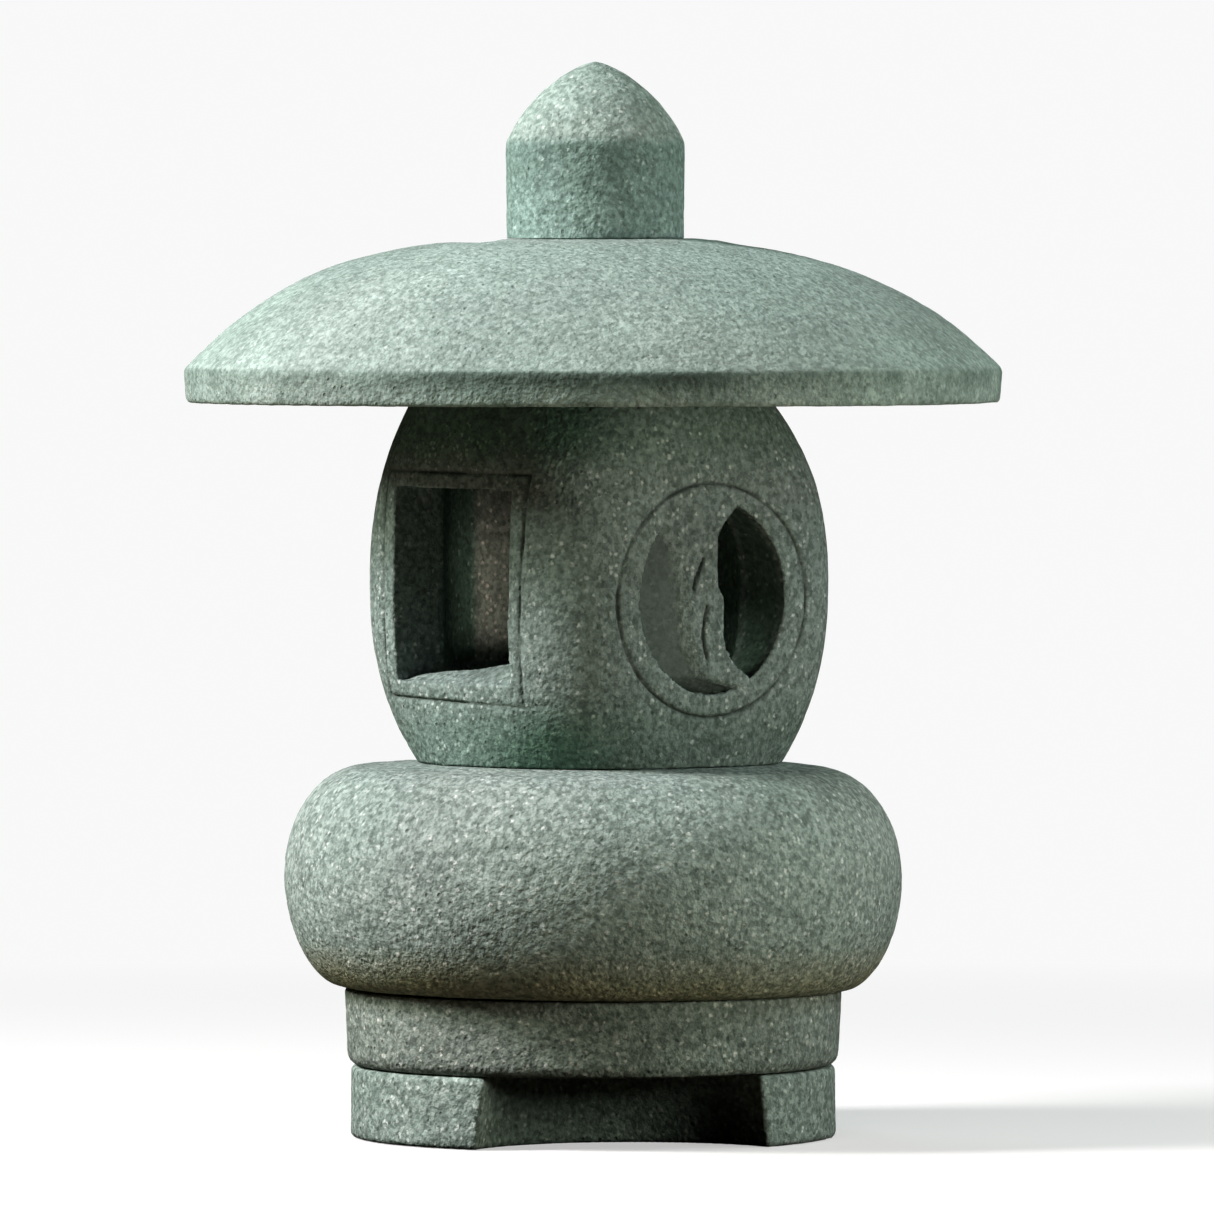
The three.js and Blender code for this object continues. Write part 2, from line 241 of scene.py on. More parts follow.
def contour(field, start, step):
    """The surface where a field of samples is 0, negative inside, as points and four-cornered faces."""
    inside = field < 0
    nx, ny, nz = field.shape
    count = sum(
        inside[i:nx - 1 + i, j:ny - 1 + j, k:nz - 1 + k].astype(np.int8)
        for i, j, k in product((0, 1), repeat=3)
    )
    mixed = (count > 0) & (count < 8)
    cells = np.argwhere(mixed)
    index = np.full(mixed.shape, -1, np.int64)
    index[mixed] = np.arange(len(cells))
    total = np.zeros((len(cells), 3))
    hits = np.zeros(len(cells))
    for axis in range(3):
        others = [a for a in range(3) if a != axis]
        for shift in product((0, 1), repeat=2):
            low = cells.copy()
            low[:, others[0]] += shift[0]
            low[:, others[1]] += shift[1]
            high = low.copy()
            high[:, axis] += 1
            a = field[tuple(low.T)]
            b = field[tuple(high.T)]
            crossing = (a < 0) != (b < 0)
            share = np.where(crossing, a / np.where(crossing, a - b, 1), 0)
            spot = low.astype(float)
            spot[:, axis] += share
            total += spot * crossing[:, None]
            hits += crossing
    points = start + step * total / hits[:, None]
    faces = []
    for axis in range(3):
        u, v = (axis + 1) % 3, (axis + 2) % 3
        near = np.moveaxis(inside, axis, 0)
        crossing = np.moveaxis(near[:-1] != near[1:], 0, axis)
        spots = np.argwhere(crossing)
        spots = spots[(spots[:, u] > 0) & (spots[:, v] > 0)]
        spots = spots[(spots[:, u] < field.shape[u] - 1) & (spots[:, v] < field.shape[v] - 1)]
        corners = []
        for du, dv in ((1, 1), (0, 1), (0, 0), (1, 0)):
            cell = spots.copy()
            cell[:, u] -= du
            cell[:, v] -= dv
            corners.append(index[tuple(cell.T)])
        quads = np.stack(corners, axis=1)
        leaving = inside[tuple(spots.T)]
        quads[~leaving] = quads[~leaving][:, ::-1]
        faces.extend(quads.tolist())
    return points, faces


def gradient(shape, points, reach=0.05):
    """How fast the shape's distance grows along each axis."""
    steps = np.eye(3) * reach
    slope = np.stack([shape(points + s) - shape(points - s) for s in steps], axis=1)
    return slope / (2 * reach)


def carved_stone(name, shape, low, high, carving, step):
    """A carved stone from a function that gives each point's distance outside the stone."""
    step = step * 1
    start = np.array(low, float) - 2 * step
    counts = np.ceil((np.array(high) - start) / step).astype(int) + 3
    xs, ys = np.meshgrid(*(start[a] + step * np.arange(counts[a]) for a in (0, 1)), indexing="ij")
    field = np.empty(counts, np.float32)
    for k in range(counts[2]):
        layer = np.stack([xs.ravel(), ys.ravel(), np.full(xs.size, start[2] + step * k)], axis=1)
        field[:, :, k] = shape(layer).reshape(xs.shape)
    points, faces = contour(field, start, step)
    slope = gradient(shape, points)
    steep = np.maximum((slope ** 2).sum(1), 0.2)
    pull = slope * (shape(points) / steep)[:, None]
    far = np.maximum(np.linalg.norm(pull, axis=1, keepdims=True) / (0.5 * step), 1)
    points = points - pull / far
    slope = gradient(shape, points, step)
    normals = slope / np.maximum(np.linalg.norm(slope, axis=1, keepdims=True), 1e-9)
    return mesh_object(name, carving.applied(points, normals), faces)


def cut(body, tool, edge=0.6):
    """Distance outside body with tool cut away, its edges rounded by about edge."""
    a, b = body, -tool
    blend = np.clip(0.5 + 0.5 * (a - b) / edge, 0, 1)
    return b + (a - b) * blend + edge * blend * (1 - blend)


# The front is 51.5 degrees from -Y towards +X, halfway between the square window and the moon

FRONT = math.radians(51.5)
RIGHT = np.array([math.cos(FRONT), math.sin(FRONT)])


def to_right(points):
    """How far points lie to the right of the axis, seen from the front."""
    return points[:, 0] * RIGHT[0] + points[:, 1] * RIGHT[1]


def to_front(points):
    """How far points lie in front of the axis."""
    return points[:, 0] * RIGHT[1] - points[:, 1] * RIGHT[0]


def moved(right=0.0, up=0.0):
    """Moves along the front's right and up, as an array with one row per point."""
    right, up = np.broadcast_arrays(right, up)
    return np.stack([right * RIGHT[0], right * RIGHT[1], up], axis=1)


# Foot stone: a disc scooped out between two wide feet

FOOT_R = 101
FOOT_EDGE, SCOOP_EDGE = 2.6, 2.5
SCOOP_TOP_R, SCOOP_LOW_R, SCOOP_CENTRE = 63, 67, 110
FOOT_TURN = math.radians(60)
PLINTH_SPIGOT_R, PLINTH_SPIGOT_H = 28, 12
PLATFORM_SPIGOT_R, PLATFORM_SPIGOT_H = 35, 14


def slab(points, radius, low, high, edge):
    """Distance outside a round slab with rounded edges."""
    out = reach_of(points) - (radius - edge)
    up = np.abs(points[:, 2] - (low + high) / 2) - ((high - low) / 2 - edge)
    outside = np.hypot(np.maximum(out, 0), np.maximum(up, 0))
    return outside + np.minimum(np.maximum(out, up), 0) - edge


def foot_shape(points):
    """Distance outside the foot stone."""
    stone = slab(points, FOOT_R, 0, FOOT_TOP, FOOT_EDGE)
    radius = SCOOP_LOW_R + (SCOOP_TOP_R - SCOOP_LOW_R) * points[:, 2] / FOOT_TOP
    for side in (1, -1):
        x = points[:, 0] - side * SCOOP_CENTRE * math.sin(FOOT_TURN)
        y = points[:, 1] + side * SCOOP_CENTRE * math.cos(FOOT_TURN)
        stone = cut(stone, np.hypot(x, y) - radius, SCOOP_EDGE)
    around = reach_of(points) - (PLINTH_SPIGOT_R + SPIGOT_PLAY)
    under = (FOOT_TOP - PLINTH_SPIGOT_H - SOCKET_SPARE) - points[:, 2]
    return cut(stone, np.maximum(around, under))


def make_foot():
    room = FOOT_R + 1
    low, high = (-room, -room, 0), (room, room, FOOT_TOP)
    carving = Carving(11, [0, FOOT_TOP], swell=0.9)
    foot = carved_stone("foot_carved", foot_shape, low, high, carving, 1.7)
    points = points_of(foot)
    reach = reach_of(points)
    # Painted shade: the scooped recess between the feet is painted darker, where shadow falls.
    recess_shade = between(FOOT_R - reach, 5, 24) * between(FOOT_TOP - points[:, 2], 0.5, 2)
    store(foot, "soil_and_painted_shade", 0.6 * recess_shade)
    return foot


# Plinth ring, platform, roof and finial: turned stones

def make_plinth():
    low = FOOT_TOP + CONTACT_GAP
    radius = radius_of("plinth_ring")
    socket_low = PLINTH_TOP - PLATFORM_SPIGOT_H - SOCKET_SPARE
    corners = [
        (0, low - PLINTH_SPIGOT_H, 0),
        (PLINTH_SPIGOT_R, low - PLINTH_SPIGOT_H, 1.5),
        (PLINTH_SPIGOT_R, low, 0),
        (radius - 1.2, low, 6.5),
        (radius, PLINTH_TOP, 1.5),
        (PLATFORM_SPIGOT_R + SPIGOT_PLAY, PLINTH_TOP, 1),
        (PLATFORM_SPIGOT_R + SPIGOT_PLAY, socket_low, 1),
        (0, socket_low, 0),
    ]
    carving = Carving(21, [low, PLINTH_TOP], loss=0.8, swell=0.9)
    return turned_stone("plinth_carved", corners, carving, 1.8)


PLATFORM_BELLY = 109
PLATFORM_FOOT_R, PLATFORM_SHOULDER_R, PLATFORM_SHOULDER_DROP = 104, 95, 2
PLATFORM_SEAT_R, PLATFORM_FREE_R = 77, 84
PLATFORM_TILT = 0.0085
WARM_BOUNCE_BAND = 22
CHAMBER_SPIGOT_R, CHAMBER_SPIGOT_H = 40, 12


def platform_skew(points):
    """The cushion's rim hangs lower on the right and rises on the left; its seats stay level."""
    loose = between(reach_of(points), PLATFORM_FREE_R, 106)
    return moved(up=-PLATFORM_TILT * to_right(points) * loose)


def make_platform():
    low = PLINTH_TOP + CONTACT_GAP
    radius = radius_of("platform")
    shoulder = PLATFORM_TOP - PLATFORM_SHOULDER_DROP
    corners = [
        (0, low - PLATFORM_SPIGOT_H, 0),
        (PLATFORM_SPIGOT_R, low - PLATFORM_SPIGOT_H, 1.5),
        (PLATFORM_SPIGOT_R, low, 0),
    ]
    for degrees in range(-90, 0, 5):
        a = math.radians(degrees)
        corners.append((
            PLATFORM_FOOT_R + (radius - PLATFORM_FOOT_R) * abs(math.cos(a)) ** 1.12,
            PLATFORM_BELLY + (PLATFORM_BELLY - low) * math.sin(a), 0,
        ))
    for degrees in range(0, 90, 4):
        a = math.radians(degrees)
        corners.append((
            PLATFORM_SHOULDER_R + (radius - PLATFORM_SHOULDER_R) * math.cos(a),
            PLATFORM_BELLY + (shoulder - PLATFORM_BELLY) * math.sin(a), 0,
        ))
    socket_low = PLATFORM_TOP - CHAMBER_SPIGOT_H - SOCKET_SPARE
    corners += [
        (PLATFORM_SHOULDER_R, shoulder, 2),
        (PLATFORM_SEAT_R, PLATFORM_TOP, 0),
        (CHAMBER_SPIGOT_R + SPIGOT_PLAY, PLATFORM_TOP, 1),
        (CHAMBER_SPIGOT_R + SPIGOT_PLAY, socket_low, 1),
        (0, socket_low, 0),
    ]
    carving = Carving(31, [low, PLATFORM_TOP], swell=0.7, free_beyond=PLATFORM_FREE_R)
    platform = turned_stone("platform_carved", corners, carving, 1.8, platform_skew)
    points = points_of(platform)
    # Painted warm bounce light: the cushion is painted browner, in patches, towards its bottom.
    patches = 0.6 + 0.8 * noise(points, 30, 35)
    store(platform, "painted_warm_bounce", between(points[:, 2], PLATFORM_BELLY - WARM_BOUNCE_BAND, low) * patches)
    return platform


BORE_R = 62
BOSS_R, BOSS_H = BORE_R - SPIGOT_PLAY, 8
RIM_H, DOME_POWER, DOME_FLAT_R = 14.5, 3.15, 38
DOME_FREE_R = 48
DOME_LEAN, COLLAR_TILT, SHOULDER_TILT = 1.0, 0.016, 0.008
ROOF_LIMIT = radius_of("roof") - 0.1
TENON_R, TENON_H = 14, 25


def roof_skew(points):
    """The dome's top leans to the left, its collar and shoulder tilt, and its rim is a little wavy."""
    reach = reach_of(points)
    low = CHAMBER_TOP + CONTACT_GAP
    high_part = np.clip((points[:, 2] - low - RIM_H) / (ROOF_TOP - low - RIM_H), 0, 1)
    top = np.minimum(high_part, between(reach, 30, 60))
    angle = np.arctan2(points[:, 1], points[:, 0])
    wave = 0.35 * np.sin(3 * angle + 0.6) + 0.25 * np.sin(7 * angle + 2)
    edge = between(reach, 150, 165) * (1 - between(high_part, 0.15, 0.4))
    up = (wave - 0.3) * edge * between(points[:, 2], low + 2, low + 12)
    too_far = np.maximum(reach - ROOF_LIMIT, 0) / np.maximum(reach, 1)
    inward = np.stack([-points[:, 0] * too_far, -points[:, 1] * too_far, 0 * reach], axis=1)
    fuller = 0.7 * between(high_part, 0, 0.3) * between(reach, 90, 120)
    collar = between(reach, 37, 42) * (1 - between(reach, 46, 62))
    shoulder = between(reach, 50, 66) * between(high_part, 0.3, 0.8)
    tilt = to_right(points) * (COLLAR_TILT * collar - SHOULDER_TILT * shoulder)
    return moved(right=-DOME_LEAN * top, up=up + (fuller - 0.3) * top + tilt) + inward


def make_roof():
    low = CHAMBER_TOP + CONTACT_GAP
    radius = radius_of("roof")
    rise = ROOF_TOP - low - RIM_H
    corners = [
        (0, low - BOSS_H, 0),
        (BOSS_R, low - BOSS_H, 1.5),
        (BOSS_R, low, 0),
        (radius - 1, low, 3),
        (radius, low + RIM_H, 2),
    ]
    for r in np.linspace(radius - 5, DOME_FLAT_R, 40):
        corners.append((r, ROOF_TOP - rise * (r / radius) ** DOME_POWER, 0))
    socket_low = ROOF_TOP - TENON_H - SOCKET_SPARE
    corners += [
        (TENON_R + SPIGOT_PLAY, ROOF_TOP, 1),
        (TENON_R + SPIGOT_PLAY, socket_low, 0),
        (0, socket_low, 0),
    ]
    carving = Carving(41, [low, ROOF_TOP], loss=0.7, swell=0.5, free_beyond=DOME_FREE_R)
    roof = turned_stone("roof_carved", corners, carving, 2.1, roof_skew)
    add_rim_soil_and_shade(roof, low)
    return roof


def add_rim_soil_and_shade(roof, low):
    """Stores how dark the rim band is: patches of soil, and painted shade that grows along its upper
    edge and at the front, where little light falls.
    """
    points = points_of(roof)
    reach = reach_of(points)
    rim_top = low + RIM_H
    band = between(reach, 162, 166) * between(points[:, 2], rim_top + 1.2, rim_top - 0.6)
    front = between(to_front(points) / np.maximum(reach, 1), 0.86, 0.97)
    edge = between(points[:, 2], low + 3.5, rim_top - 1)
    patches = 0.5 * noise(points, 11, 45) - 0.07
    soil_and_painted_shade = patches + 0.2 * edge + (0.12 + 0.34 * edge) * front
    store(roof, "soil_and_painted_shade", band * np.clip(soil_and_painted_shade, 0, 1))


FINIAL_SHOULDER_Z = 415.3
FINIAL_BED = 0.35
FINIAL_ASIDE = 0.9
FINIAL_SWELL = 0.8
CONE_POWERS = (1.35, 0.65)


def finial_skew(points):
    """The finial stands a little to the right of the axis, as its tenon's play allows."""
    return moved(right=np.full(len(points), FINIAL_ASIDE))


def make_finial():
    low = ROOF_TOP - FINIAL_BED
    radius = radius_of("finial") + FINIAL_SWELL
    rise = FINIAL_TOP - FINIAL_SHOULDER_Z
    corners = [
        (0, low - TENON_H, 0),
        (TENON_R, low - TENON_H, 1.5),
        (TENON_R, low, 0),
        (radius - 0.3, low, 0.9),
        (radius, FINIAL_SHOULDER_Z, 3.6),
    ]
    for turn in np.linspace(0.06, math.pi / 2, 30)[:-1]:
        share = math.sin(turn)
        r = radius * (1 - share ** CONE_POWERS[0]) ** CONE_POWERS[1]
        corners.append((r - 0.5 * min(1, 8 * share), FINIAL_SHOULDER_Z + rise * share, 0))
    corners.append((0, FINIAL_TOP, 0))
    finial = turned_stone("finial_carved", corners, Carving(51, [low], loss=0.7), 1.5, finial_skew)
    points = points_of(finial)
    # Painted shade: the cylinder is painted darker, in patches, towards the cone's shoulder, where less
    # light from above falls.
    below = between(points[:, 2], FINIAL_SHOULDER_Z + 0.8, FINIAL_SHOULDER_Z - 1.2)
    patches = 0.05 + 0.35 * noise(points, 15, 55)
    store(finial, "soil_and_painted_shade", below * between(points[:, 2], low, FINIAL_SHOULDER_Z) * patches)
    # Painted light: the cone, which faces up to the light, is painted lighter.
    cone = between(points[:, 2], FINIAL_SHOULDER_Z - 1, FINIAL_SHOULDER_Z + 4)
    store(finial, "painted_light", 0.4 * cone)
    return finial


# Light chamber

CHAMBER_LOW = PLATFORM_TOP + CONTACT_GAP
CHAMBER_MIDDLE = (CHAMBER_LOW + CHAMBER_TOP) / 2
CHAMBER_HALF = (CHAMBER_TOP - CHAMBER_LOW) / 2
FACE, CORNER = 77, 95.7
FACE_BULGE, CORNER_BULGE, BULGE_POWER = 5.5, 20.2, 2.4
FLOOR_Z = CANDLE_LOW - SEAT_GAP
# The chamber is carved a little to the right of its bore, and its two ends lean away from that
CHAMBER_ASIDE, TOP_LEAN, FOOT_LEAN = 2.3, 2.9, 0.5
# The square window, with its hand-cut jamb, lintel and sill, and the outline cut around it
WINDOW, WINDOW_Z, OUTLINE = 80, 231, 97
JAMB_INSET, JAMB_TAPER = 2.4, 1.6
LINTEL_RISE, LINTEL_TILT = 1, 0.6
SILL_FALL, SILL_LIP, SILL_RAMP = 3, 1.5, 8
OUTLINE_INSET, OUTLINE_TAPER = 1.7, 4.8
# The moon window, a little narrower than high, and the ring cut around it, a little flatter
MOON_R, MOON_Y, MOON_Z = 40.3, -2, 226
MOON_ASIDE, MOON_RISE, MOON_NARROWER = 1, 1.2, 1.06
RING_R, RING_ASIDE, RING_FLATTER = 49.7, 1.5, 1.03
CLOUD_SLOPE = 0.38
GROOVE_DEPTH, GROOVE_WIDTH = 1.6, 0.8
MARK_Y, MARK_Z, MARK_R = 3, 165.5, 2.4
# Where the painted shade near the chamber's foot is strongest, and how far it spreads
SHADE_CORNER, SHADE_CORNER_WIDTH = -20, 30
BARREL_SLOPE = 0.93
NOTHING_CUT = 9
# Where the chamber's samples start and end along X and Y
CHAMBER_FIELD = (-97, 99)


def barrel(points):
    """Distance outside the barrel, whose section is a rounded square that gets rounder at both ends."""
    x, y, z = points.T
    bulge = np.clip(np.abs(z - CHAMBER_MIDDLE) / CHAMBER_HALF, 0, 1.2) ** BULGE_POWER
    face = FACE - FACE_BULGE * bulge
    corner = CORNER - CORNER_BULGE * bulge
    power = 1 / (0.5 - np.log2(corner / face))
    reach = np.maximum(np.hypot(x, y), 1e-6)
    edge = face * ((np.abs(x) / reach) ** power + (np.abs(y) / reach) ** power) ** (-1 / power)
    return (reach - edge) * BARREL_SLOPE


def groove(distance, width=1.0):
    """A share from 0 to 1 that falls off with the distance from an incised line."""
    return np.exp(-((distance / (width * GROOVE_WIDTH)) ** 2))


def segment_distance(y, z, a, b):
    """Distance from the straight line between two points."""
    along = np.array(b, float) - a
    share = np.clip(((y - a[0]) * along[0] + (z - a[1]) * along[1]) / (along @ along), 0, 1)
    return np.hypot(y - a[0] - share * along[0], z - a[1] - share * along[1])


def line_distance(y, z, line):
    """Distance from a line of several straight stretches."""
    return np.min([segment_distance(y, z, a, b) for a, b in zip(line[:-1], line[1:])], axis=0)


def moon_reach(across, z):
    """Distance from the moon's middle, stretched sideways because the moon is narrower than high."""
    return np.hypot(MOON_NARROWER * (across - MOON_ASIDE), z - MOON_Z - MOON_RISE)


def lobed_edge(z):
    """How far across the moon the cloud reaches at each height: two lobes that meet in a cusp."""
    heights = [-42, -37.5, -32, -27, -20, -14, -6, -1, 2, 5, 8, 15, 24, 28, 31, 35, 40, 44]
    reach = [33, 28, 20, 13, 8, 6.5, 6.8, 7, 6.2, 4.2, 3.6, 3.3, 3.7, 4.6, 7, 11, 15.8, 21]
    return np.interp(z - MOON_Z, heights, reach)


def flush_edge(z):
    """Where across the moon the cloud starts to fall away to the left, at each height."""
    heights = [-42, -38, -35.7, -31.4, -18.6, -1.6, 19.8, 34.7, 44]
    reach = [42, 28, 19, 3, -6.5, -10.5, -13.5, -22, -27]
    return np.interp(z - MOON_Z, heights, reach)


CLOUD_LINES = (
    [(-4, MOON_Z + 17.3), (-6.7, MOON_Z + 12.3), (-8.4, MOON_Z + 8.9), (-9.1, MOON_Z + 5)],
    [
        (-2, MOON_Z - 2.3), (-3.6, MOON_Z - 8), (-4.2, MOON_Z - 14),
        (-3.6, MOON_Z - 19), (-2, MOON_Z - 24),
    ],
)


def unshifted(points):
    """Points of the chamber's outside, put back to where they would be if it stood straight over its
    bore: it is carved a little to the right, and its top leans back to the left."""
    level = (points[:, 2] - CHAMBER_MIDDLE) / CHAMBER_HALF
    high, low = np.clip(level, 0, 1.2) ** 3, np.clip(-level, 0, 1.2) ** 3
    shift = CHAMBER_ASIDE - TOP_LEAN * high + FOOT_LEAN * low
    return points - moved(right=shift)


def incised(x, y, z):
    """How deep the thin cut lines on the chamber's outside are, from 0 to 1."""
    half = OUTLINE / 2
    share = np.clip(x / half, -1, 1)
    down = np.clip(0.5 - (z - WINDOW_Z) / OUTLINE, 0, 1)
    right, left = x - (half - OUTLINE_INSET - OUTLINE_TAPER * down), -x - half
    top = z - (WINDOW_Z + half - 1 - 0.4 * share)
    bottom = WINDOW_Z - half + 1 - 1.5 * share - z
    square = np.abs(np.maximum(np.maximum(right, left), np.maximum(top, bottom)))
    overshoot = segment_distance(x, z, (42, WINDOW_Z - 49), (54, WINDOW_Z - 47))
    front = np.maximum(groove(square), 0.5 * groove(overshoot))
    ring = groove(np.hypot(y - MOON_Y - RING_ASIDE, RING_FLATTER * (z - MOON_Z)) - RING_R)
    mark = 0.35 * groove(np.hypot(y - MARK_Y, z - MARK_Z) - MARK_R, 1.4)
    hand = 0.55 + 0.45 * between(noise(np.stack([x, y, z], axis=1), 14, 91), 0.25, 0.6)
    lines = np.where(y < -50, front, 0) + np.where(x > 50, np.maximum(ring, mark), 0)
    return lines * hand


def cloud_lines(across, z):
    """Distance from the two short lines cut in the cloud."""
    return np.min([line_distance(across, z, np.array(line)) for line in CLOUD_LINES], axis=0)


def add_marks(chamber):
    """Stores how much each point of the chamber is cut line, and how much smooth carved recess."""
    points = unshifted(points_of(chamber))
    x, y, z = points.T
    depth = -barrel(points)
    outside = between(depth, 4, 2)
    across = y - MOON_Y
    from_moon = moon_reach(across, z)
    scratch = np.where((x > 60) & (from_moon < MOON_R), groove(cloud_lines(across, z), 1.2), 0)
    mark = np.maximum(incised(x, y, z) * outside, scratch)
    in_moon = between(from_moon, MOON_R + 0.5, MOON_R - 0.5) * (x > 55)
    smooth = in_moon * between(depth, 1.0, 2.5)
    store(chamber, "cut_line", mark)
    store(chamber, "smooth_carving", smooth)


def add_painted_shade_and_light(chamber):
    """Stores where shade is painted on the chamber, darker and greener: under the roof, where its
    shadow falls, near its foot, in the moon window's jamb and inside; and where a patch of light is
    painted on its inside, across from the moon window."""
    points = points_of(chamber)
    x, y, z = points.T
    reach = np.hypot(x, y)
    aside = to_right(points)
    # Painted shadow of the roof, stronger on the left
    near_roof = between(z, CHAMBER_TOP - 32, CHAMBER_TOP - 12)
    shaded = near_roof * (0.35 + 0.65 * between(aside, 25, SHADE_CORNER))
    corner = np.exp(-((aside - SHADE_CORNER) / SHADE_CORNER_WIDTH) ** 2)
    # Painted shade near the foot, strongest a little left of the middle
    near_foot = between(z, CHAMBER_LOW + 36, CHAMBER_LOW + 10)
    low_part = near_foot * (0.38 + 0.62 * corner)
    painted_dark = np.maximum(shaded, low_part) * (0.75 + 0.5 * noise(points, 18, 65))
    # Painted shade inside the bore, and a painted pool of light across from the moon window
    inside = between(reach, BORE_R + 3, BORE_R) * (z > FLOOR_Z + 4)
    pale = between(y, -20, -11) * between(y, 22, 12) * (x < 0)
    outside = between(reach, BORE_R + 3, BORE_R + 6)
    # Painted shade in the moon window's jamb
    moon_side = between(-barrel(unshifted(points)), 2.5, 4.5) * outside * (x > 40) * (y > 8)
    painted_dark = np.maximum(painted_dark * outside, 0.75 * moon_side)
    store(chamber, "painted_green_shade", np.clip(np.maximum(painted_dark, 0.8 * inside * (1 - pale)), 0, 1))
    store(chamber, "painted_light", inside * pale)


def chamber_shape(points):
    """Distance outside the chamber."""
    x, y, z = unshifted(points).T
    bore_reach = reach_of(points)
    front, right = y < 0, x > 0
    across = y - MOON_Y
    from_moon = moon_reach(across, z)
    stone = barrel(np.stack([x, y, z], axis=1)) + GROOVE_DEPTH * incised(x, y, z)
    from_end = CHAMBER_HALF - np.abs(z - CHAMBER_MIDDLE)
    stone = np.maximum(stone, -from_end)
    stone = np.where(from_end < 4, cut(stone, from_end, 1.2), stone)
    spigot = np.maximum(bore_reach - CHAMBER_SPIGOT_R, np.abs(z - CHAMBER_LOW) - CHAMBER_SPIGOT_H)
    stone = np.minimum(stone, np.maximum(spigot, z - CHAMBER_LOW - 2))
    # The inside and the square window
    bore = np.maximum(bore_reach - BORE_R, FLOOR_Z - z)
    stone = cut(stone, bore, 0.8)
    half = WINDOW / 2
    ramp = (SILL_LIP + SILL_RAMP * np.clip(0.5 + x / WINDOW, 0, 1)) * between(y, -75, -62)
    sill = FLOOR_Z - SILL_FALL * np.clip((-y - 47) / 30, 0, 1) + ramp
    down = np.clip(0.5 - (z - WINDOW_Z) / WINDOW, 0, 1)
    jambs = np.maximum(x - (half - JAMB_INSET - JAMB_TAPER * down), -x - half)
    lintel = z - (WINDOW_Z + half + LINTEL_RISE - LINTEL_TILT * np.clip(x / half, -1, 1))
    window = np.maximum(jambs, np.maximum(lintel, sill - z))
    stone = cut(stone, np.where(front, window, NOTHING_CUT), 0.7)
    # The moon: its recess, the cloud's lines and the open slot
    cloud_top = FACE - CLOUD_SLOPE * np.maximum(flush_edge(z) - across, 0)
    recess = np.maximum(from_moon - MOON_R, (cloud_top - x) * BARREL_SLOPE)
    stone = cut(stone, np.where(right, recess, NOTHING_CUT), 0.5)
    scratch = np.maximum(cloud_lines(across, z) - 0.8, FACE - 1.7 - x)
    stone = cut(stone, np.where(right, scratch, NOTHING_CUT), 0.6)
    slot = np.maximum(from_moon - MOON_R, lobed_edge(z) - across)
    return cut(stone, np.where(right, slot, NOTHING_CUT), 0.8)


def make_chamber():
    low = (CHAMBER_FIELD[0], CHAMBER_FIELD[0], CHAMBER_LOW - CHAMBER_SPIGOT_H)
    high = (CHAMBER_FIELD[1], CHAMBER_FIELD[1], CHAMBER_TOP)
    carving = Carving(61, [CHAMBER_LOW, CHAMBER_TOP], loss=0.8, swell=1.0, grain=0.65)
    chamber = carved_stone("chamber_carved", chamber_shape, low, high, carving, 1.0)
    add_marks(chamber)
    add_painted_shade_and_light(chamber)
    return chamber


# Tea light

CUP_FLUTES, CUP_FLUTE_DEPTH = 40, 0.16


def make_cup():
    low, high = CANDLE_LOW, high_z("tea_light_cup")
    radius = radius_of("tea_light_cup")
    outline = resampled(filleted([
        (0, low, 0),
        (radius - 1.2, low, 0.8),
        (radius - 0.3, low + 1.5, 1),
        (radius - 0.3, high - 0.6, 0.2),
        (radius, high - 0.2, 0.2),
        (radius - 0.3, high, 0.2),
        (radius - 0.6, high - 0.4, 0.2),
        (radius - 0.6, low + 1.8, 1),
        (radius - 1.7, low + 0.3, 0.5),
        (0, low + 0.3, 0),
    ]), 0.7)
    points, _, faces = turned(outline, 6 * CUP_FLUTES)
    angle = np.arctan2(points[:, 1], points[:, 0])
    reach = reach_of(points)
    above_base = np.clip((points[:, 2] - low - 1.5) / 2, 0, 1)
    below_rim = np.clip((high - 1.2 - points[:, 2]) / 2, 0, 1)
    wall = above_base * below_rim * (reach > 10)
    flutes = CUP_FLUTE_DEPTH * wall * (0.5 + 0.5 * np.cos(CUP_FLUTES * angle))
    points[:, :2] *= (1 - flutes / np.maximum(reach, 1))[:, None]
    return mesh_object("tea_light_cup_pressed", points, faces)


def make_wax():
    low, high = low_z("tea_light_wax"), high_z("tea_light_wax")
    radius = radius_of("tea_light_wax")
    wick_hole = 1.1
    outline = resampled(filleted([
        (0, low + 5.5, 0),
        (2.4, low + 5.5, 0),
        (2.4, low + 1, 0),
        (8.4, low + 1, 0),
        (8.4, low, 0),
        (radius - 0.6, low, 0.4),
        (radius - 0.3, low + 2, 0.8),
        (radius - 0.3, high, 0.5),
        (radius - 2.5, high - 0.5, 1),
        (6, high - 0.9, 3),
        (wick_hole + 1.4, high - 0.5, 0.7),
        (wick_hole, high - 1.4, 0),
        (0, high - 1.4, 0),
    ]), 0.7)
    points, _, faces = turned(outline, 160)
    top = np.clip((points[:, 2] - high + 2) / 2, 0, 1)
    points[:, 2] -= 0.25 * top * noise(points, 6, 71)
    return mesh_object("tea_light_wax_cast", points, faces)


